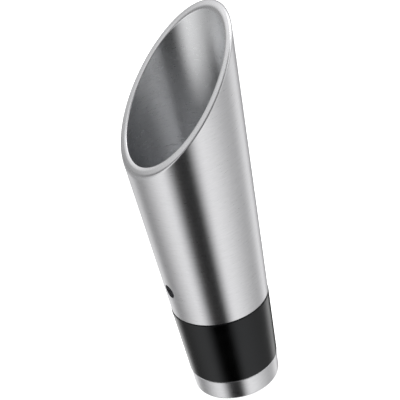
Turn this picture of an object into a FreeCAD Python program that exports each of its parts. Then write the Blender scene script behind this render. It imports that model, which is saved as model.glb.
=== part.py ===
"""Wine pourer: a tapered steel funnel with a slanted, rounded lip, on a neck that seals in a bottle.

Millimetres. +Z runs up the pourer's axis, with the origin in the middle of its foot. +X points to
the pouring tip, and the vent hole is on the short side, at -X.
"""
import FreeCAD, Part
import Sketcher
import math
import os

SIZES = {
    "base_diameter": (17.6, "outer cone's diameter at the foot"),
    "taper_angle": (3.75, "between the outer cone and the axis, in degrees"),
    "collar_height": (4.6, "steel end collar"),
    "seal_height": (15.4, "rubber sleeve between the collar and the funnel"),
    "tip_height": (83.3, "sharp corner of the slanted cut, before rounding"),
    "cut_angle": (45.6, "slanted cut from the horizontal, in degrees"),
    "funnel_wall": (1.7, "funnel's wall, measured level"),
    "lip_outer_round": (0.4, "rounding where the lip meets the outside"),
    "lip_inner_round": (0.2, "rounding where the lip meets the inside"),
    "edge_break": (0.15, "bevel on the funnel's foot and the collar's other edges"),
    "vent_diameter": (3.0, "vent hole in the funnel's wall"),
    "vent_rise": (6.8, "vent hole's centre above the sleeve"),
    "neck_wall": (1.1, "neck tube's wall under the sleeve"),
    "head_cover": (4.2, "tapered head of the neck tube above the vent's centre"),
    "head_rim": (0.4, "neck tube's wall at its upper edge"),
    "flare_drop": (2.0, "start of the neck's inner flare, below the sleeve's top"),
    "collar_lip": (1.0, "collar's inward lip under the neck tube"),
    "collar_round": (0.6, "collar's rounded bottom edge"),
    "seal_wall": (1.45, "sleeve's wall at its lower end"),
    "seal_proud": (0.1, "how far the sleeve stands out of the steel cone"),
    "seal_round": (0.35, "sleeve's rounded outer edges"),
    "tube_diameter": (3.2, "air tube, outside"),
    "tube_wall": (0.3, "air tube's wall"),
    "tube_bend": (2.4, "air tube's bend, on its centre line"),
    "tube_gap": (0.15, "air tube to the neck's bore"),
    "tube_recess": (0.6, "air tube's lower end above the foot"),
    "fit_clearance": (0.03, "fitted faces, radially"),
}
SHEET = "sizes"
SAME = 1e-4  # two lengths that differ by less are one edge's


def size(name):
    """The expression that reads one size from the sheet."""
    if name not in SIZES:
        raise KeyError(name)
    return f"<<{SHEET}>>.{name}"


def cone_radius(height):
    """Outer cone's radius at a height, both as expressions."""
    return f"({size('base_diameter')} / 2 + ({height}) * tan({size('taper_angle')}))"


def funnel_inside(height):
    """Radius of the funnel's inner cone at a height."""
    return f"({cone_radius(height)} - {size('funnel_wall')})"


def head_outside(height):
    """Radius of the neck tube's tapered head, which fits in the funnel."""
    return f"({funnel_inside(height)} - {size('fit_clearance')})"


def seal_outside(height):
    """Radius of the rubber sleeve, which stands a little out of the cone."""
    return f"({cone_radius(height)} + {size('seal_proud')})"


def cut_height(across):
    """Height of the slanted cut at a distance from the axis towards the tip."""
    corner = cone_radius(size("tip_height"))
    return f"({size('tip_height')} + (({across}) - {corner}) * tan({size('cut_angle')}))"


SEAL_FOOT = size("collar_height")
SEAL_TOP = f"({size('collar_height')} + {size('seal_height')})"
VENT_HEIGHT = f"({SEAL_TOP} + {size('vent_rise')})"
HEAD_TOP = f"({VENT_HEIGHT} + {size('head_cover')})"
FLARE_FOOT = f"({SEAL_TOP} - {size('flare_drop')})"
NECK_SEAT = f"({seal_outside(SEAL_FOOT)} - {size('seal_wall')})"
NECK_OUTSIDE = f"({NECK_SEAT} - {size('fit_clearance')})"
NECK_BORE = f"({NECK_OUTSIDE} - {size('neck_wall')})"
TUBE_OUTSIDE = f"({size('tube_diameter')} / 2)"
TUBE_X = f"({NECK_BORE} - {size('tube_gap')} - {TUBE_OUTSIDE})"
TUBE_TURN = f"({TUBE_X} + {size('tube_bend')})"


def make_sheet(doc):
    """The spreadsheet of driving dimensions."""
    sheet = doc.addObject("Spreadsheet::Sheet", SHEET)
    for row, (name, (value, meaning)) in enumerate(SIZES.items(), start=1):
        sheet.set(f"A{row}", name)
        sheet.set(f"B{row}", str(value))
        sheet.set(f"C{row}", meaning)
        sheet.setAlias(f"B{row}", name)
    doc.recompute()


def make_body(doc, label):
    """A body, whose label is its node's name."""
    body = doc.addObject("PartDesign::Body", label)
    body.Label = label
    return body


def origin_part(body, role):
    """One of the body's own origin planes or axes."""
    return next(part for part in body.Origin.OriginFeatures if part.Role == role)


def make_sketch(body, name, role):
    """A sketch on one of the body's origin planes."""
    sketch = body.newObject("Sketcher::SketchObject", name)
    sketch.AttachmentSupport = [(origin_part(body, role), "")]
    sketch.MapMode = "FlatFace"
    return sketch


def number(sketch, expression):
    """An expression's value as the sizes stand."""
    return float(sketch.evalExpression(expression))


def point(sketch, corner):
    """A corner's place as the sizes stand, from its two expressions."""
    return FreeCAD.Vector(number(sketch, corner[0]), number(sketch, corner[1]), 0)


def bind_point(sketch, geometry, end, corner):
    """Ties one point of the sketch to two expressions, measured from the sketch's origin."""
    for kind, expression in zip(("DistanceX", "DistanceY"), corner):
        value = number(sketch, expression)
        index = sketch.addConstraint(Sketcher.Constraint(kind, -1, 1, geometry, end, value))
        sketch.setExpression(f"Constraints[{index}]", expression)


def draw_outline(sketch, corners):
    """A closed outline of straight edges through the corners."""
    points = [point(sketch, corner) for corner in corners]
    edges = [
        sketch.addGeometry(Part.LineSegment(start, end))
        for start, end in zip(points, points[1:] + points[:1])
    ]
    for edge, before, corner in zip(edges, edges[-1:] + edges[:-1], corners):
        sketch.addConstraint(Sketcher.Constraint("Coincident", before, 2, edge, 1))
        bind_point(sketch, edge, 1, corner)


def draw_circle(sketch, centre, radius):
    """A circle about a point."""
    middle = point(sketch, centre)
    circle = sketch.addGeometry(
        Part.Circle(middle, FreeCAD.Vector(0, 0, 1), number(sketch, radius))
    )
    bind_point(sketch, circle, 3, centre)
    index = sketch.addConstraint(
        Sketcher.Constraint("Radius", circle, number(sketch, radius))
    )
    sketch.setExpression(f"Constraints[{index}]", radius)


def turn(body, name, corners, kind="PartDesign::Revolution"):
    """A section in the XZ plane, turned about the axis."""
    sketch = make_sketch(body, f"{name}_section", "XZ_Plane")
    draw_outline(sketch, corners)
    feature = body.newObject(kind, name)
    feature.Profile = sketch
    feature.ReferenceAxis = (origin_part(body, "Z_Axis"), [""])
    feature.Angle = 360
    return feature


def drill_side(body, name, radius):
    """A level hole at the vent's height, from the axis out through the wall at -X."""
    sketch = make_sketch(body, f"{name}_circle", "YZ_Plane")
    draw_circle(sketch, ("0", VENT_HEIGHT), radius)
    hole = body.newObject("PartDesign::Pocket", name)
    hole.Profile = sketch
    hole.Type = "ThroughAll"
    return hole


def dress_edges(body, name, kind, width, wanted):
    """A Fillet or Chamfer on those edges of the body's last feature that answer to a test."""
    body.Document.recompute()
    last = body.Tip
    edges = [f"Edge{n}" for n, edge in enumerate(last.Shape.Edges, start=1) if wanted(edge)]
    if not edges:
        raise ValueError(f"{name} finds no edge")
    feature = body.newObject(f"PartDesign::{kind}", name)
    feature.Base = (last, edges)
    feature.setExpression({"Fillet": "Radius", "Chamfer": "Size"}[kind], width)
    return feature


def ring_at(sketch, height, radius):
    """A test for the level circle about the axis, at a height and of a radius."""
    level = number(sketch, height)
    across = number(sketch, radius)

    def wanted(edge):
        curve = edge.Curve
        return (
            isinstance(curve, Part.Circle)
            and abs(curve.Center.z - level) < SAME
            and abs(curve.Radius - across) < SAME
        )

    return wanted


def make_funnel(doc):
    """The pouring funnel: a thick conical wall, cut on the slant and rounded round its lip."""
    body = make_body(doc, "funnel")
    blank_top = f"({size('tip_height')} + {size('funnel_wall')})"
    wall = turn(body, "wall", [
        (funnel_inside(SEAL_TOP), SEAL_TOP),
        (cone_radius(SEAL_TOP), SEAL_TOP),
        (cone_radius(blank_top), blank_top),
        (funnel_inside(blank_top), blank_top),
    ])
    reach = cone_radius(blank_top)
    clear = f"({cut_height(reach)} + {size('funnel_wall')})"
    section = make_sketch(body, "slant_section", "XZ_Plane")
    draw_outline(section, [
        (f"-{reach}", cut_height(f"-{reach}")),
        (reach, cut_height(reach)),
        (reach, clear),
        (f"-{reach}", clear),
    ])
    slant = body.newObject("PartDesign::Pocket", "slant")
    slant.Profile = section
    slant.Type = "ThroughAll"
    slant.Midplane = True
    drill_side(body, "vent", f"{size('vent_diameter')} / 2")
    doc.recompute()
    widths = sorted(
        edge.BoundBox.YLength for edge in body.Tip.Shape.Edges if isinstance(edge.Curve, Part.Ellipse)
    )

    def lip_edge(width):
        return lambda edge: (
            isinstance(edge.Curve, Part.Ellipse) and abs(edge.BoundBox.YLength - width) < SAME
        )

    outer_edge = lip_edge(widths[-1])
    inner_edge = lip_edge(widths[0])
    dress_edges(body, "lip_outside", "Fillet", size("lip_outer_round"), outer_edge)
    dress_edges(body, "lip_inside", "Fillet", size("lip_inner_round"), inner_edge)
    foot = ring_at(wall.Profile[0], SEAL_TOP, cone_radius(SEAL_TOP))
    dress_edges(body, "foot_edge", "Chamfer", size("edge_break"), foot)
    return body


def make_neck_tube(doc):
    """The neck: a straight tube under the sleeve, with a flared head seated in the funnel."""
    body = make_body(doc, "neck_tube")
    turn(body, "tube", [
        (NECK_BORE, size("collar_lip")),
        (NECK_OUTSIDE, size("collar_lip")),
        (NECK_OUTSIDE, SEAL_TOP),
        (head_outside(SEAL_TOP), SEAL_TOP),
        (head_outside(HEAD_TOP), HEAD_TOP),
        (f"({head_outside(HEAD_TOP)} - {size('head_rim')})", HEAD_TOP),
        (NECK_BORE, FLARE_FOOT),
    ])
    drill_side(body, "air_hole", f"({TUBE_OUTSIDE} + {size('fit_clearance')})")
    return body


def make_seal_sleeve(doc):
    """The rubber sleeve: tapered outside to wedge in a bottle, straight inside on the neck."""
    body = make_body(doc, "seal_sleeve")
    sleeve = turn(body, "sleeve", [
        (NECK_SEAT, SEAL_FOOT),
        (seal_outside(SEAL_FOOT), SEAL_FOOT),
        (seal_outside(SEAL_TOP), SEAL_TOP),
        (NECK_SEAT, SEAL_TOP),
    ])
    ends = [ring_at(sleeve.Profile[0], end, seal_outside(end)) for end in (SEAL_FOOT, SEAL_TOP)]
    dress_edges(
        body, "soft_edges", "Fillet", size("seal_round"), lambda edge: any(end(edge) for end in ends)
    )
    return body


def make_end_collar(doc):
    """The end collar, pressed on the neck: it holds the sleeve and is the foot it stands on."""
    body = make_body(doc, "end_collar")
    ring = turn(body, "ring", [
        (NECK_BORE, "0"),
        (cone_radius("0"), "0"),
        (cone_radius(SEAL_FOOT), SEAL_FOOT),
        (NECK_SEAT, SEAL_FOOT),
        (NECK_SEAT, size("collar_lip")),
        (NECK_BORE, size("collar_lip")),
    ])
    section = ring.Profile[0]
    outer_foot = ring_at(section, "0", cone_radius("0"))
    inner_foot = ring_at(section, "0", NECK_BORE)
    top = ring_at(section, SEAL_FOOT, cone_radius(SEAL_FOOT))
    dress_edges(body, "foot_round", "Fillet", size("collar_round"), outer_foot)
    dress_edges(
        body, "bevels", "Chamfer", size("edge_break"), lambda edge: inner_foot(edge) or top(edge)
    )
    return body


def make_air_tube(doc):
    """The air tube: from the vent through the neck's head, then down beside the wine."""
    body = make_body(doc, "air_tube")
    bend_foot = f"({VENT_HEIGHT} - {size('tube_bend')})"
    outer_end = f"({head_outside(VENT_HEIGHT)} + {TUBE_OUTSIDE})"
    route = [
        (f"-{TUBE_X}", size("tube_recess")),
        (f"-{TUBE_X}", bend_foot),
        (f"-{TUBE_TURN}", VENT_HEIGHT),
        (f"-{outer_end}", VENT_HEIGHT),
    ]
    path = make_sketch(body, "path", "XZ_Plane")
    foot, bend_in, bend_out, end = (point(path, corner) for corner in route)
    centre = FreeCAD.Vector(bend_out.x, bend_in.y, 0)
    bend = Part.Circle(centre, FreeCAD.Vector(0, 0, 1), number(path, size("tube_bend")))
    upright = path.addGeometry(Part.LineSegment(foot, bend_in))
    turned = path.addGeometry(Part.ArcOfCircle(bend, 0, math.pi / 2))
    level = path.addGeometry(Part.LineSegment(bend_out, end))
    path.addConstraint(Sketcher.Constraint("Tangent", upright, 2, turned, 1))
    path.addConstraint(Sketcher.Constraint("Tangent", turned, 2, level, 1))
    bind_point(path, upright, 1, route[0])
    bind_point(path, turned, 3, (f"-{TUBE_TURN}", bend_foot))
    bind_point(path, level, 2, route[3])
    ring = make_sketch(body, "ring_section", "XY_Plane")
    ring.setExpression("AttachmentOffset.Base.z", size("tube_recess"))
    draw_circle(ring, (f"-{TUBE_X}", "0"), TUBE_OUTSIDE)
    draw_circle(ring, (f"-{TUBE_X}", "0"), f"({TUBE_OUTSIDE} - {size('tube_wall')})")
    pipe = body.newObject("PartDesign::AdditivePipe", "bent_tube")
    pipe.Profile = ring
    pipe.Spine = (path, ["Edge1", "Edge2", "Edge3"])
    below = f"({VENT_HEIGHT} - {size('tube_diameter')})"
    above = f"({VENT_HEIGHT} + {size('tube_diameter')})"
    beyond = f"({outer_end} + {TUBE_OUTSIDE})"
    turn(body, "dressed_end", [
        (head_outside(below), below),
        (beyond, below),
        (beyond, above),
        (head_outside(above), above),
    ], kind="PartDesign::Groove")
    return body


def check(doc, bodies):
    """Stops on a failed object, a cut that takes nothing away, or a body that isn't one solid."""
    for item in doc.Objects:
        if {"Invalid", "Error"} & set(item.State):
            raise ValueError(f"{item.Name} failed: {item.getStatusString()}")
        if item.TypeId in ("PartDesign::Pocket", "PartDesign::Groove"):
            if item.Shape.Volume > item.BaseFeature.Shape.Volume - 0.01:
                raise ValueError(f"{item.Name} cuts nothing")
    for body in bodies:
        shape = body.Shape
        if shape.isNull() or not shape.isValid() or len(shape.Solids) != 1:
            raise ValueError(f"{body.Label} is not one valid solid")


def main():
    doc = FreeCAD.newDocument("wine_pourer")
    make_sheet(doc)
    makers = (make_funnel, make_neck_tube, make_seal_sleeve, make_end_collar, make_air_tube)
    bodies = [make(doc) for make in makers]
    doc.recompute()
    check(doc, bodies)
    os.makedirs("parts", exist_ok=True)
    for body in bodies:
        body.Shape.exportStep(f"parts/{body.Label}.step")
        print(f"{body.Label}: {body.Shape.Volume:.1f} cubic mm")


main()
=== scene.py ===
"""The looks of a steel wine pourer: brushed steel, black rubber, and the studio that it stands in.

Metres. +Z runs up the pourer's axis from its foot, and +X points to the pouring tip. Angles round
the axis, or turns, are measured from the tip.
"""
import math

import bpy
from mathutils import Matrix, Vector


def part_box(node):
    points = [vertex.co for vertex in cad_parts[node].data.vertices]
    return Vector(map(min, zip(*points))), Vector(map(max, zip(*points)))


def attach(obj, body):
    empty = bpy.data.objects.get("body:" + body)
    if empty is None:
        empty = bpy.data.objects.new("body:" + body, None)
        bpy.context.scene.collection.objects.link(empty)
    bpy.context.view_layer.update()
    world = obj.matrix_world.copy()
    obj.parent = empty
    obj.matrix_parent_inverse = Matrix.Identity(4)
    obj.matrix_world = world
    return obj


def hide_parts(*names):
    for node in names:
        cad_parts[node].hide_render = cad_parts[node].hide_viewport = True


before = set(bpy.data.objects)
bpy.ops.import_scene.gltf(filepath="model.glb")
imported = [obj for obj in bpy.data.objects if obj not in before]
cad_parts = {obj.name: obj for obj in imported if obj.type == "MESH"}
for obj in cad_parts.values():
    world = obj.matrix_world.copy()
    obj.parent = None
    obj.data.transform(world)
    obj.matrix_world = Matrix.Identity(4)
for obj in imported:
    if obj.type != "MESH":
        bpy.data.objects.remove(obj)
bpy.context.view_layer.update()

bl_info = {
    "name": "Wine pourer",
    "version": (1, 0, 0),
    "blender": (4, 5, 0),
    "location": "View3D > Sidebar > Pourer",
    "description": "Dresses a steel wine pourer and sets up its studio",
    "category": "Object",
}

MM = 0.001
BODY = "root"

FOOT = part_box("funnel")[0].z

# The funnel's mesh: its grid, the patch left open round the vent, and the steps of its roundings
COLUMNS = 256
LEVEL_STEP = 0.5 * MM
LEVELS_ABOVE_VENT = 14
PATCH = 10
WALL_ROWS = 18
ARC_STEPS = 8
FOOT_STEPS = 5
HOLE_RINGS = 4

# How closely the outer rounding's larger size keeps to the lip's ends, and the room its crown takes
OUTER_GATHER = 4
CROWN_ROOM = 0.95

# The funnel's three finishes, in the order of its material slots
OUTSIDE, LIP, INSIDE = range(3)


class PourerShape(bpy.types.PropertyGroup):
    """The funnel's sizes."""

    base_radius: bpy.props.FloatProperty(
        name="Base radius", description="The outer cone's radius at the pourer's foot",
        default=8.8 * MM, min=1 * MM, unit="LENGTH")
    taper: bpy.props.FloatProperty(
        name="Taper", description="Between the outer cone and the axis",
        default=math.radians(3.75), subtype="ANGLE", unit="ROTATION")
    wall: bpy.props.FloatProperty(
        name="Wall", description="The funnel's wall, measured level",
        default=1.7 * MM, min=0.5 * MM, unit="LENGTH")
    slant: bpy.props.FloatProperty(
        name="Slant", description="The lip's slope from the horizontal",
        default=math.radians(45.6), subtype="ANGLE", unit="ROTATION")
    tip_height: bpy.props.FloatProperty(
        name="Tip height", description="The lip's sharp corner at the tip, before rounding",
        default=83.3 * MM, min=30 * MM, unit="LENGTH")
    outside_rounding: bpy.props.FloatVectorProperty(
        name="Outer rounding", description="Radius of the lip's outer edge: low end, flanks and tip",
        default=(2.2 * MM, 0.4 * MM, 0.4 * MM), size=3, min=0.05 * MM, unit="LENGTH")
    inside_rounding: bpy.props.FloatVectorProperty(
        name="Inner rounding", description="Radius of the lip's inner edge: low end, flanks and tip",
        default=(0.12 * MM, 0.2 * MM, 0.9 * MM), size=3, min=0.05 * MM, unit="LENGTH")
    crown: bpy.props.FloatVectorProperty(
        name="Crown", description="How far the lip's outer part leans down: low end, flanks and tip",
        default=(math.radians(6), math.radians(2), math.radians(10)), size=3, min=math.radians(0.5),
        subtype="EULER", unit="ROTATION")
    crown_place: bpy.props.FloatProperty(
        name="Crown's place", description="The lip's highest line, as a share of its width from the inside",
        default=0.26, min=0.1, max=0.9, subtype="FACTOR")
    foot_rounding: bpy.props.FloatProperty(
        name="Foot rounding", description="Radius of the funnel's lower outer edge",
        default=0.15 * MM, min=0.02 * MM, unit="LENGTH")
    vent_radius: bpy.props.FloatProperty(
        name="Vent", description="Radius of the vent hole",
        default=1.5 * MM, min=0.2 * MM, unit="LENGTH")
    vent_height: bpy.props.FloatProperty(
        name="Vent height", description="The vent hole's centre above the pourer's foot",
        default=26.8 * MM, min=0, unit="LENGTH")


class SteelFinish(bpy.types.PropertyGroup):
    """Brushed stainless steel."""

    colour: bpy.props.FloatVectorProperty(
        name="Steel", description="The bare steel's colour",
        default=(0.80, 0.80, 0.815), size=3, min=0, max=1, subtype="COLOR")
    roughness: bpy.props.FloatProperty(
        name="Roughness", description="How far the brushing blurs what the wall reflects",
        default=0.3, min=0, max=1, subtype="FACTOR")
    lip_roughness: bpy.props.FloatProperty(
        name="Lip roughness", description="How far the satin lip blurs what it reflects",
        default=0.26, min=0, max=1, subtype="FACTOR")
    across: bpy.props.FloatProperty(
        name="Brushing", description="How much wider the gloss spreads across the lines than along them",
        default=0.93, min=0, max=1, subtype="FACTOR")
    # The inside's colour is the bare steel's with a painted greenish tint, standing in for the cast of the
    # light bounced round inside the funnel
    inside_colour_painted_greener: bpy.props.FloatVectorProperty(
        name="Inside", description="The steel's colour inside the funnel, a little greener",
        default=(0.797, 0.803, 0.815), size=3, min=0, max=1, subtype="COLOR")
    inside_roughness: bpy.props.FloatProperty(
        name="Inside roughness", description="How far the brushing blurs what the inside reflects",
        default=0.29, min=0, max=1, subtype="FACTOR")
    inside_across: bpy.props.FloatProperty(
        name="Inside brushing", description="How much wider the inside's gloss spreads across the lines",
        default=1.0, min=0, max=1, subtype="FACTOR")
    inside_contrast: bpy.props.FloatProperty(
        name="Inside contrast", description="How far the inside's lines show, beside the outside's",
        default=0.5, min=0, max=1, subtype="FACTOR")
    neck_roughness: bpy.props.FloatProperty(
        name="Neck roughness", description="How far the turned neck tube blurs what it reflects",
        default=0.3, min=0, max=1, subtype="FACTOR")
    neck_across: bpy.props.FloatProperty(
        name="Neck turning", description="How much wider the neck tube's gloss spreads across its lines",
        default=0.7, min=0, max=1, subtype="FACTOR")
    tube_roughness: bpy.props.FloatProperty(
        name="Air tube roughness", description="How far the drawn air tube blurs what it reflects",
        default=0.22, min=0, max=1, subtype="FACTOR")
    tube_across: bpy.props.FloatProperty(
        name="Air tube lines", description="How much wider the air tube's gloss spreads across its lines",
        default=0.3, min=0, max=1, subtype="FACTOR")
    line_pitch: bpy.props.FloatProperty(
        name="Line pitch", description="Height of one brushed line",
        default=0.16 * MM, min=0.01 * MM, unit="LENGTH")
    line_length: bpy.props.FloatProperty(
        name="Line length", description="How far a brushed line runs round the wall",
        default=1.5 * MM, min=0.1 * MM, unit="LENGTH")
    line_depth: bpy.props.FloatProperty(
        name="Line depth", description="Depth of the brushed lines",
        default=0.001 * MM, min=0, unit="LENGTH")


class RubberFinish(bpy.types.PropertyGroup):
    """The black rubber sleeve."""

    colour: bpy.props.FloatVectorProperty(
        name="Rubber", description="The rubber's colour",
        default=(0.0004, 0.0004, 0.0004), size=3, min=0, max=1, subtype="COLOR")
    roughness: bpy.props.FloatProperty(
        name="Roughness", description="How far the rubber blurs what it reflects",
        default=0.2, min=0, max=1, subtype="FACTOR")
    grain: bpy.props.FloatProperty(
        name="Grain", description="Size of the moulded grain",
        default=0.25 * MM, min=0.01 * MM, unit="LENGTH")


class Studio(bpy.types.PropertyGroup):
    """The floor, the light round the pourer and the camera."""

    camera_side: bpy.props.FloatProperty(
        name="Side", description="The camera's direction from +X, anticlockwise seen from above",
        default=math.radians(245.58), subtype="ANGLE", unit="ROTATION")
    camera_rise: bpy.props.FloatProperty(
        name="Rise", description="The camera's height above the horizon",
        default=math.radians(31.6), subtype="ANGLE", unit="ROTATION")
    camera_roll: bpy.props.FloatProperty(
        name="Roll", description="The camera's turn about its line of sight",
        default=math.radians(13.06), subtype="ANGLE", unit="ROTATION")
    camera_distance: bpy.props.FloatProperty(
        name="Distance", description="From the camera to what it aims at",
        default=457.8 * MM, min=0.1, unit="LENGTH")
    camera_aim: bpy.props.FloatVectorProperty(
        name="Aim", description="The point that the camera aims at",
        default=(1.06 * MM, 0.94 * MM, 42.8 * MM), size=3, subtype="XYZ", unit="LENGTH")
    field: bpy.props.FloatProperty(
        name="Field of view", description="The camera's angle of view",
        default=math.radians(10.0), subtype="ANGLE", unit="ROTATION")
    floor_colour: bpy.props.FloatVectorProperty(
        name="Floor", description="The floor's colour",
        default=(0.9, 0.9, 0.9), size=3, min=0, max=1, subtype="COLOR")
    floor_glow: bpy.props.FloatProperty(
        name="Floor glow", description="How strongly the light table shines through",
        default=0.85, min=0)
    light: bpy.props.FloatProperty(
        name="Light", description="Strength of the lit cloth round the pourer",
        default=0.8, min=0)
    table: bpy.props.FloatProperty(
        name="Table", description="Brightness of the light table straight below",
        default=1.0, min=0)


class PourerSettings(bpy.types.PropertyGroup):
    """All the settings of the pourer."""

    shape: bpy.props.PointerProperty(type=PourerShape)
    steel: bpy.props.PointerProperty(type=SteelFinish)
    rubber: bpy.props.PointerProperty(type=RubberFinish)
    studio: bpy.props.PointerProperty(type=Studio)


class Skin:
    """A mesh laid out in patches, where each corner of a face keeps the surface's true direction."""

    def __init__(self):
        self.points = {}
        self.faces = []
        self.directions = []
        self.finishes = []

    def number(self, point):
        """The point's number. The same place always has the same number, so patches join."""
        return self.points.setdefault(tuple(round(c, 7) for c in point), len(self.points))

    def face(self, corners, finish):
        """A face from (point, direction) pairs, wound so that it faces the way they point."""
        edge, other = corners[1][0] - corners[0][0], corners[2][0] - corners[0][0]
        outward = sum((direction for _, direction in corners), Vector())
        if edge.cross(other).dot(outward) < 0:
            corners = corners[::-1]
        self.faces.append([self.number(point) for point, _ in corners])
        self.directions.extend(direction for _, direction in corners)
        self.finishes.append(finish)

    def belt(self, rows, finish, skip=()):
        """Faces round the axis between rows of (point, direction) pairs, but for the places in skip."""
        for row, (below, above) in enumerate(zip(rows, rows[1:])):
            for column in range(len(below)):
                if (row, column) in skip:
                    continue
                beside = (column + 1) % len(below)
                self.face([below[column], below[beside], above[beside], above[column]], finish)

    def build(self, name, materials):
        mesh = bpy.data.meshes.new(name)
        mesh.from_pydata([Vector(point) for point in self.points], [], self.faces)
        for material in materials:
            mesh.materials.append(material)
        mesh.polygons.foreach_set("material_index", self.finishes)
        mesh.polygons.foreach_set("use_smooth", [True] * len(self.faces))
        mesh.normals_split_custom_set(self.directions)
        mesh.validate()
        piece = bpy.data.objects.new(name, mesh)
        bpy.context.scene.collection.objects.link(piece)
        return piece


def in_space(turn, radius, height):
    """The point at a turn round the axis, a distance from it and a height."""
    return Vector((radius * math.cos(turn), radius * math.sin(turn), height))


def arc(corner, one, other, radius, steps=ARC_STEPS):
    """A rounding between two lines that leave a corner, as points from the one to the other."""
    half = one.angle(other) / 2
    middle = corner + (one + other).normalized() * (radius / math.sin(half))
    first = corner + one * (radius / math.tan(half)) - middle
    last = corner + other * (radius / math.tan(half)) - middle
    sweep = math.pi - 2 * half
    return [
        middle + (first * math.sin(sweep * (1 - share)) + last * math.sin(sweep * share)) / math.sin(sweep)
        for share in (step / steps for step in range(steps + 1))
    ]


class Funnel:
    """The funnel's surface: a conical wall with a slanted, rounded lip and a vent hole."""

    def __init__(self, shape):
        self.shape = shape
        self.flare = math.tan(shape.taper)
        self.inner_base = shape.base_radius - shape.wall
        self.turns = [2 * math.pi * column / COLUMNS for column in range(COLUMNS)]
        self.skin = Skin()

    def wall_direction(self, turn, outside):
        level, rise = math.cos(self.shape.taper), math.sin(self.shape.taper)
        direction = Vector((level * math.cos(turn), level * math.sin(turn), -rise))
        return direction if outside else -direction

    def wall_point(self, turn, height, base):
        return in_space(turn, base + height * self.flare, height)

    def lip_corner(self, turn, base):
        """Where the slanted cut meets a cone, as a (radius, height) pair."""
        shape, toward, slope = self.shape, math.cos(turn), math.tan(self.shape.slant)
        tip = shape.base_radius + shape.tip_height * self.flare
        height = (shape.tip_height + (base * toward - tip) * slope) / (1 - self.flare * toward * slope)
        return Vector((base + height * self.flare, height))

    def rounding(self, turn, radii, gather=2):
        """A size that changes smoothly round the lip. A higher gather keeps the ends' sizes to the ends."""
        low, flank, tip = radii
        toward = math.cos(turn)
        return flank + ((tip if toward > 0 else low) - flank) * abs(toward) ** gather

    def lip_section(self, turn):
        """The crowned lip from the inner wall over to the outer wall, as (radius, height) pairs."""
        outer = self.lip_corner(turn, self.shape.base_radius)
        inner = self.lip_corner(turn, self.inner_base)
        down = Vector((-self.flare, -1)).normalized()
        across = outer - inner
        lean = self.rounding(turn, self.shape.crown)
        share = self.shape.crown_place
        lift = Vector((-across.y, across.x)) * (math.tan(lean) * (1 - share))
        top = inner.lerp(outer, share) + lift
        rise, fall = (top - inner).normalized(), (outer - top).normalized()
        inside = arc(inner, down, rise, self.rounding(turn, self.shape.inside_rounding))
        outside = arc(outer, -fall, down, self.rounding(turn, self.shape.outside_rounding, OUTER_GATHER))
        room = CROWN_ROOM * min((top - inside[-1]).length, (outside[0] - top).length)
        crown = arc(top, -rise, fall, room * math.tan((-rise).angle(fall) / 2))
        return inside + crown + outside

    def add_lip(self, sections):
        """The lip's rows, with directions worked out from the points on either side."""
        rows = [
            [in_space(turn, *section[row]) for turn, section in zip(self.turns, sections)]
            for row in range(len(sections[0]))
        ]
        dressed = []
        for row, points in enumerate(rows):
            line = []
            for column, (turn, point) in enumerate(zip(self.turns, points)):
                if row in (0, len(rows) - 1):
                    direction = self.wall_direction(turn, row > 0)
                else:
                    along = points[(column + 1) % COLUMNS] - points[column - 1]
                    over = rows[row + 1][column] - rows[row - 1][column]
                    direction = over.cross(along).normalized()
                line.append((point, direction))
            dressed.append(line)
        satin = len(dressed) - ARC_STEPS // 2
        self.skin.belt(dressed[:satin], finish=LIP)
        self.skin.belt(dressed[satin - 1:], finish=OUTSIDE)

    def add_wall(self, outside, tops):
        """One side of the wall: level rows past the vent, then rows that lean over to the lip."""
        shape = self.shape
        base = shape.base_radius if outside else self.inner_base
        foot = FOOT + (self.foot_reach() if outside else 0)
        below = int((shape.vent_height - FOOT) / LEVEL_STEP - 0.5)
        levels = [shape.vent_height + step * LEVEL_STEP for step in range(-below, LEVELS_ABOVE_VENT + 1)]
        heights = [[foot] * COLUMNS] + [[level] * COLUMNS for level in levels]
        for row in range(1, WALL_ROWS + 1):
            heights.append([levels[-1] + (top - levels[-1]) * row / WALL_ROWS for top in tops])
        rows = [
            [(self.wall_point(turn, height, base), self.wall_direction(turn, outside))
             for turn, height in zip(self.turns, line)]
            for line in heights
        ]
        middle_row, middle_column = 1 + below, COLUMNS // 2
        reach = range(-PATCH // 2, PATCH // 2)
        sides = range(-PATCH, PATCH)
        finish = OUTSIDE if outside else INSIDE
        self.skin.belt(rows, finish, {(middle_row + a, middle_column + b) for a in reach for b in sides})
        return self.add_vent_patch(rows, middle_row, middle_column, base, outside)

    def add_vent_patch(self, rows, middle_row, middle_column, base, outside):
        """The wall from the open patch of its grid in to the vent's edge. Gives that edge."""
        low, high = middle_row - PATCH // 2, middle_row + PATCH // 2
        left, right = middle_column - PATCH, middle_column + PATCH
        border = (
            [(low, column) for column in range(left, right)]
            + [(row, right) for row in range(low, high)]
            + [(high, column) for column in range(right, left, -1)]
            + [(row, left) for row in range(high, low, -1)]
        )
        corners = [rows[row][column][0] for row, column in border]
        centre, radius = self.shape.vent_height, self.shape.vent_radius
        rings = [[] for _ in range(HOLE_RINGS + 1)]
        for corner in corners:
            angle = math.atan2(corner.z - centre, corner.y)
            edge = Vector((radius * math.cos(angle), centre + radius * math.sin(angle)))
            for step, ring in enumerate(rings):
                place = Vector((corner.y, corner.z)).lerp(edge, step / HOLE_RINGS)
                away = base + place.y * self.flare
                turn = math.pi - math.asin(place.x / away)
                ring.append((in_space(turn, away, place.y), self.wall_direction(turn, outside)))
        rings[0] = [rows[row][column] for row, column in border]
        self.skin.belt(rings, OUTSIDE if outside else INSIDE)
        return [point for point, _ in rings[-1]]

    def add_vent(self, outer_edge, inner_edge):
        """The vent hole's own wall, between its edges on the two sides."""
        def dressed(points):
            return [
                (point, Vector((0, -point.y, self.shape.vent_height - point.z)).normalized())
                for point in points
            ]
        self.skin.belt([dressed(outer_edge), dressed(inner_edge)], INSIDE)

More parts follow.
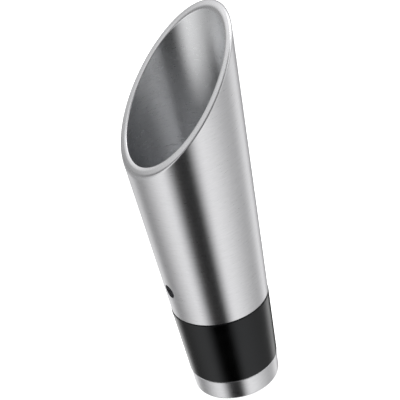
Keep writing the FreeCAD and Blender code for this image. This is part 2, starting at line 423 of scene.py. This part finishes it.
    def foot_section(self):
        """The rounded lower edge, from the outer wall to the flat foot, as (radius, height) pairs."""
        corner = Vector((self.shape.base_radius + FOOT * self.flare, FOOT))
        up = Vector((self.flare, 1)).normalized()
        return arc(corner, up, Vector((-1, 0)), self.shape.foot_rounding, FOOT_STEPS)

    def foot_reach(self):
        return self.foot_section()[0].y - FOOT

    def add_foot(self):
        """The rounded lower edge and the flat ring that rests on the sleeve."""
        section = self.foot_section()
        centre = section[0] + Vector((math.cos(self.shape.taper), -math.sin(self.shape.taper))) * (
            -self.shape.foot_rounding)
        rows = []
        for place in section:
            level, rise = (place - centre).normalized()
            rows.append([
                (in_space(turn, *place), Vector((level * math.cos(turn), level * math.sin(turn), rise)))
                for turn in self.turns
            ])
        self.skin.belt(rows, OUTSIDE)
        below = Vector((0, 0, -1))
        inner = self.inner_base + FOOT * self.flare
        self.skin.belt([
            [(in_space(turn, section[-1].x, FOOT), below) for turn in self.turns],
            [(in_space(turn, inner, FOOT), below) for turn in self.turns],
        ], INSIDE)

    def make(self, name, materials):
        sections = [self.lip_section(turn) for turn in self.turns]
        self.add_lip(sections)
        inner_edge = self.add_wall(False, [section[0].y for section in sections])
        outer_edge = self.add_wall(True, [section[-1].y for section in sections])
        self.add_vent(outer_edge, inner_edge)
        self.add_foot()
        return self.skin.build(name, materials)


class Sheet:
    """A node tree, emptied, with short ways to add nodes and join them."""

    def __init__(self, owner):
        owner.use_nodes = True
        self.tree = owner.node_tree
        self.tree.nodes.clear()

    def put(self, socket, value):
        """Sets a socket to a number or colour, or joins another node's output to it."""
        if isinstance(value, bpy.types.NodeSocket):
            self.tree.links.new(value, socket)
        else:
            socket.default_value = value

    def add(self, kind, inputs=None, **settings):
        node = self.tree.nodes.new(kind)
        for name, value in settings.items():
            setattr(node, name, value)
        for name, value in (inputs or {}).items():
            self.put(node.inputs[name], value)
        return node

    def maths(self, operation, *values):
        node = self.add("ShaderNodeMath", operation=operation)
        for socket, value in zip(node.inputs, values):
            self.put(socket, value)
        return node.outputs[0]

    def scaled(self, place, factors):
        """A place stretched along each axis."""
        node = self.add("ShaderNodeVectorMath", {0: place, 1: factors}, operation="MULTIPLY")
        return node.outputs["Vector"]

    def stretch(self, value, low, high, to_low=0.0, to_high=1.0, smooth=False):
        node = self.add("ShaderNodeMapRange", {
            "Value": value, "From Min": low, "From Max": high, "To Min": to_low, "To Max": to_high,
        }, interpolation_type="SMOOTHSTEP" if smooth else "LINEAR")
        return node.outputs["Result"]

    def blend(self, share, one, other):
        node = self.add("ShaderNodeMix", {0: share, 6: one, 7: other}, data_type="RGBA")
        return node.outputs[2]

    def product(self, one, other):
        node = self.add("ShaderNodeVectorMath", {0: one, 1: other}, operation="MULTIPLY")
        return node.outputs["Vector"]

    def noise(self, place, detail=2.0, roughness=0.5):
        node = self.add("ShaderNodeTexNoise", {
            "Vector": place, "Scale": 1.0, "Detail": detail, "Roughness": roughness,
        }, noise_dimensions="3D")
        return node.outputs["Fac"]

    def place(self):
        """The point on the pourer, in metres in its own frame."""
        return self.add("ShaderNodeTexCoord").outputs["Object"]

    def finish(self, shader, output="ShaderNodeOutputMaterial"):
        self.put(self.add(output).inputs["Surface"], shader)


# Speckles and clouds that lie side by side in a metre of satin steel, and clouds in a metre of rubber
SATIN_SPECKLES = 4000
SATIN_CLOUDS = 400
RUBBER_CLOUDS = 220

# The satin's darkest and lightest specks against bare steel, both below it so that the whole lip is also
# painted darker as shade, and how deep speckle and grain go
SATIN_SPECKS_AND_PAINTED_SHADE = (0.87, 0.98)
SPECKLE_DEPTH = 0.001 * MM
GRAIN_DEPTH = 0.006 * MM

# How rubber bends light, and the faint blue of its sheen
RUBBER_IOR = 1.42
RUBBER_SHEEN = (0.93, 0.96, 1.0, 1.0)

# How far brushing shifts the steel's brightness and its roughness
LINE_SHADE = 0.1
LINE_ROUGHNESS = 0.05


def shade(colour, factor=1.0):
    """A colour made lighter or darker, with the fourth value that sockets want."""
    return (*(min(1.0, factor * c) for c in colour), 1.0)


def turned_lines(sheet, pitch, length):
    """Fine lines round the axis, from 0 to 1: short ones over longer, wider ones."""
    place = sheet.place()
    fine = sheet.scaled(place, (1 / length, 1 / length, 1 / pitch))
    wide = sheet.scaled(place, (0.3 / length, 0.3 / length, 0.4 / pitch))
    return sheet.blend(0.25, sheet.noise(fine, 3.0, 0.7), sheet.noise(wide, 2.0))


def brushed_steel(name, finish, colour, roughness, across, contrast=1.0):
    """Steel with fine lines brushed round the axis."""
    material = bpy.data.materials.new(name)
    sheet = Sheet(material)
    lines = turned_lines(sheet, finish.line_pitch, finish.line_length)
    darker = shade(colour, 1 - LINE_SHADE * contrast)
    lighter = shade(colour, 1 + LINE_SHADE * contrast)
    tint = sheet.blend(sheet.stretch(lines, 0.25, 0.75), darker, lighter)
    rough = sheet.stretch(lines, 0.2, 0.8, roughness - LINE_ROUGHNESS, roughness + LINE_ROUGHNESS)
    bump = sheet.add("ShaderNodeBump", {"Strength": contrast, "Distance": finish.line_depth, "Height": lines})
    axis = sheet.add("ShaderNodeCombineXYZ", {"Z": 1.0})
    shader = sheet.add("ShaderNodeBsdfPrincipled", {
        "Base Color": tint, "Metallic": 1.0, "Roughness": rough, "Anisotropic": across,
        "Tangent": axis.outputs[0], "Normal": bump.outputs[0],
    })
    sheet.finish(shader.outputs[0])
    return material


def satin_steel(name, finish):
    """The lip's steel, polished to a satin with no lines, and painted a little darker than bare steel as
    shade.
    """
    material = bpy.data.materials.new(name)
    sheet = Sheet(material)
    speckle = sheet.noise(sheet.scaled(sheet.place(), [SATIN_SPECKLES] * 3), 3.0, 0.6)
    cloud = sheet.noise(sheet.scaled(sheet.place(), [SATIN_CLOUDS] * 3), 2.0)
    # Specks between two shades, both darker than bare steel: real speckle, plus painted shade over the whole
    # lip
    darker, lighter = (shade(finish.colour, factor) for factor in SATIN_SPECKS_AND_PAINTED_SHADE)
    colour = sheet.blend(sheet.stretch(speckle, 0.3, 0.7), darker, lighter)
    rough = sheet.stretch(cloud, 0.3, 0.7, finish.lip_roughness - 0.03, finish.lip_roughness + 0.03)
    bump = sheet.add("ShaderNodeBump", {"Strength": 1.0, "Distance": SPECKLE_DEPTH, "Height": speckle})
    shader = sheet.add("ShaderNodeBsdfPrincipled", {
        "Base Color": colour, "Metallic": 1.0, "Roughness": rough, "Normal": bump.outputs[0],
    })
    sheet.finish(shader.outputs[0])
    return material


def black_rubber(name, finish):
    """Smooth black moulded rubber, a little uneven."""
    material = bpy.data.materials.new(name)
    sheet = Sheet(material)
    place = sheet.place()
    grain = sheet.noise(sheet.scaled(place, [1 / finish.grain] * 3), 4.0, 0.6)
    cloud = sheet.noise(sheet.scaled(place, [RUBBER_CLOUDS] * 3), 3.0)
    colour = sheet.blend(grain, shade(finish.colour, 0.7), shade(finish.colour, 1.3))
    rough = sheet.stretch(cloud, 0.3, 0.7, finish.roughness - 0.04, finish.roughness + 0.05)
    bump = sheet.add("ShaderNodeBump", {"Strength": 1.0, "Distance": GRAIN_DEPTH, "Height": grain})
    shader = sheet.add("ShaderNodeBsdfPrincipled", {
        "Base Color": colour, "Roughness": rough, "IOR": RUBBER_IOR, "Specular Tint": RUBBER_SHEEN,
        "Normal": bump.outputs[0],
    })
    sheet.finish(shader.outputs[0])
    return material


def dress(node, material):
    """Gives a CAD piece its finish."""
    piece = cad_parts[node]
    piece.data.materials.clear()
    piece.data.materials.append(material)


class POURER_OT_funnel(bpy.types.Operator):
    """Make the funnel with its rounded lip, brush its wall and polish its lip"""

    bl_idname = "pourer.funnel"
    bl_label = "Funnel"

    def execute(self, context):
        settings = context.scene.pourer
        steel = settings.steel
        piece = Funnel(settings.shape).make("pouring_funnel", [
            brushed_steel("brushed_funnel", steel, steel.colour, steel.roughness, steel.across),
            satin_steel("satin_lip", steel),
            # The inside's steel carries a painted greenish tint for the light inside the funnel
            brushed_steel("brushed_inside", steel, steel.inside_colour_painted_greener, steel.inside_roughness,
                          steel.inside_across, steel.inside_contrast),
        ])
        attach(piece, BODY)
        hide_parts("funnel")
        return {"FINISHED"}


class POURER_OT_collar(bpy.types.Operator):
    """Brush the end collar"""

    bl_idname = "pourer.collar"
    bl_label = "End collar"

    def execute(self, context):
        steel = context.scene.pourer.steel
        dress("end_collar", brushed_steel(
            "brushed_collar", steel, steel.colour, steel.roughness, steel.across))
        return {"FINISHED"}


class POURER_OT_neck(bpy.types.Operator):
    """Finish the neck tube and the air tube inside it"""

    bl_idname = "pourer.neck"
    bl_label = "Neck and air tube"

    def execute(self, context):
        steel = context.scene.pourer.steel
        dress("neck_tube", brushed_steel(
            "turned_neck", steel, steel.colour, steel.neck_roughness, steel.neck_across))
        dress("air_tube", brushed_steel(
            "drawn_tube", steel, steel.colour, steel.tube_roughness, steel.tube_across))
        return {"FINISHED"}


class POURER_OT_sleeve(bpy.types.Operator):
    """Give the sleeve its black rubber"""

    bl_idname = "pourer.sleeve"
    bl_label = "Rubber sleeve"

    def execute(self, context):
        dress("seal_sleeve", black_rubber("black_rubber", context.scene.pourer.rubber))
        return {"FINISHED"}


# The cloth's brightness round the pourer at three heights: (degrees, brightness) at the middle of each
# bright and dark band. Degrees count from the camera's side, with the picture's left below zero.
LOW_CLOTH = (
    (-180, 0.5), (-155, 1.8), (-120, 0.25), (-58, 1.1), (-28, 0.0), (-2, 0.0), (28, 1.25), (106, 0.5),
    (138, 1.6), (157, 0.0), (174, 0.0), (180, 0.5),
)
MIDDLE_CLOTH = (
    (-180, 0.6), (-112, 0.5), (-54, 1.6), (-20, 0.05), (-2, 0.05), (28, 1.25), (105, 0.6), (138, 1.1),
    (157, 0.3), (180, 0.6),
)
HIGH_CLOTH = ((-180, 0.7), (-125, 1.15), (-70, 0.35), (-15, 0.1), (50, 0.85), (120, 1.0), (180, 0.7))

# How bright the high cloth is by its degrees above the horizon
RISE = ((-90, 0.3), (8, 0.35), (24, 0.95), (50, 1.4), (75, 3.0), (90, 3.4))

# Degrees above the horizon between which one light passes into the next
LOW_TO_MIDDLE = (-38, -24)
MIDDLE_TO_HIGH = (-6, 10)
LOW_TO_TABLE = (-74, -88)

# How often light may be thrown from wall to wall inside the funnel
GLOSSY_BOUNCES = 12


def brightness_table(sheet, value, table):
    """Brightness that eases from one (degrees, brightness) pair to the next."""
    low, high = math.radians(table[0][0]), math.radians(table[-1][0])
    ramp = sheet.add("ShaderNodeValToRGB", {"Fac": sheet.stretch(value, low, high)})
    ramp.color_ramp.interpolation = "EASE"
    stops = ramp.color_ramp.elements
    for _ in table[2:]:
        stops.new(0.5)
    for stop, (degrees, brightness) in zip(stops, table):
        stop.position = (degrees - table[0][0]) / (table[-1][0] - table[0][0])
        stop.color = (brightness, brightness, brightness, 1)
    return ramp.outputs["Color"]


def passage(sheet, rise, degrees):
    """A soft step from 0 to 1 between two heights."""
    start, end = degrees
    return sheet.stretch(rise, math.radians(start), math.radians(end), smooth=True)


def light_surround(world, studio):
    """Lit cloth all round, open behind the camera. The camera itself sees plain white."""
    sheet = Sheet(world)
    ray = sheet.add("ShaderNodeTexCoord").outputs["Generated"]
    facing = sheet.add("ShaderNodeVectorRotate", {"Vector": ray, "Angle": math.pi - studio.camera_side},
                       rotation_type="Z_AXIS").outputs[0]
    parts = sheet.add("ShaderNodeSeparateXYZ", {"Vector": facing}).outputs
    back = sheet.maths("MULTIPLY", parts["X"], -1.0)
    side = sheet.maths("MULTIPLY", parts["Y"], -1.0)
    turn = sheet.maths("ARCTAN2", side, back)
    rise = sheet.maths("ARCSINE", parts["Z"])
    low = brightness_table(sheet, turn, LOW_CLOTH)
    middle = brightness_table(sheet, turn, MIDDLE_CLOTH)
    high = sheet.product(brightness_table(sheet, turn, HIGH_CLOTH), brightness_table(sheet, rise, RISE))
    colour = sheet.blend(passage(sheet, rise, LOW_TO_MIDDLE), low, middle)
    colour = sheet.blend(passage(sheet, rise, MIDDLE_TO_HIGH), colour, high)
    table = (studio.table, studio.table, studio.table, 1)
    colour = sheet.blend(passage(sheet, rise, LOW_TO_TABLE), colour, table)
    seen = sheet.add("ShaderNodeLightPath").outputs["Is Camera Ray"]
    white = 1 / studio.light
    colour = sheet.blend(seen, colour, (white, white, white, 1))
    shader = sheet.add("ShaderNodeBackground", {"Color": colour, "Strength": studio.light})
    sheet.finish(shader.outputs[0], "ShaderNodeOutputWorld")


def lay_floor(studio):
    """A pale light table under the pourer, which the steel doesn't mirror."""
    reach = 3.0
    mesh = bpy.data.meshes.new("floor")
    corners = [(-reach, -reach, 0), (reach, -reach, 0), (reach, reach, 0), (-reach, reach, 0)]
    mesh.from_pydata(corners, [], [(0, 1, 2, 3)])
    floor = bpy.data.objects.new("floor", mesh)
    bpy.context.scene.collection.objects.link(floor)
    floor.visible_glossy = False
    material = bpy.data.materials.new("pale_floor")
    sheet = Sheet(material)
    shader = sheet.add("ShaderNodeBsdfPrincipled", {
        "Base Color": shade(studio.floor_colour), "Roughness": 0.9,
        "Emission Color": (1, 1, 1, 1), "Emission Strength": studio.floor_glow,
    })
    sheet.finish(shader.outputs[0])
    mesh.materials.append(material)


def aim_camera(studio):
    """A long lens, at the photograph's angle."""
    rise, side = studio.camera_rise, studio.camera_side
    back = Vector((math.cos(rise) * math.cos(side), math.cos(rise) * math.sin(side), math.sin(rise)))
    level = back.to_track_quat("Z", "Y").to_matrix()
    data = bpy.data.cameras.new("camera")
    data.angle = studio.field
    camera = bpy.data.objects.new("camera", data)
    camera.matrix_world = Matrix.Translation(Vector(studio.camera_aim) + back * studio.camera_distance) @ (
        level @ Matrix.Rotation(-studio.camera_roll, 3, "Z")).to_4x4()
    bpy.context.scene.collection.objects.link(camera)
    bpy.context.scene.camera = camera


class POURER_OT_studio(bpy.types.Operator):
    """Lay the floor, light the surround and aim the camera"""

    bl_idname = "pourer.studio"
    bl_label = "Studio"

    def execute(self, context):
        scene = context.scene
        scene.view_settings.view_transform = "Standard"
        scene.cycles.glossy_bounces = GLOSSY_BOUNCES
        scene.world = bpy.data.worlds.new("studio")
        light_surround(scene.world, scene.pourer.studio)
        lay_floor(scene.pourer.studio)
        aim_camera(scene.pourer.studio)
        return {"FINISHED"}


class POURER_PT_panel(bpy.types.Panel):
    """The pourer's pieces and its studio"""

    bl_idname = "POURER_PT_panel"
    bl_label = "Wine pourer"
    bl_space_type = "VIEW_3D"
    bl_region_type = "UI"
    bl_category = "Pourer"

    def draw(self, context):
        for step in STEPS:
            self.layout.operator(step.bl_idname)


STEPS = (POURER_OT_funnel, POURER_OT_collar, POURER_OT_neck, POURER_OT_sleeve, POURER_OT_studio)
CLASSES = (PourerShape, SteelFinish, RubberFinish, Studio, PourerSettings, *STEPS, POURER_PT_panel)


def register():
    for made in CLASSES:
        bpy.utils.register_class(made)
    bpy.types.Scene.pourer = bpy.props.PointerProperty(type=PourerSettings)


def unregister():
    del bpy.types.Scene.pourer
    for made in reversed(CLASSES):
        bpy.utils.unregister_class(made)


def main():
    register()
    bpy.ops.pourer.funnel()
    bpy.ops.pourer.collar()
    bpy.ops.pourer.neck()
    bpy.ops.pourer.sleeve()
    bpy.ops.pourer.studio()


if __name__ == "__main__":
    main()
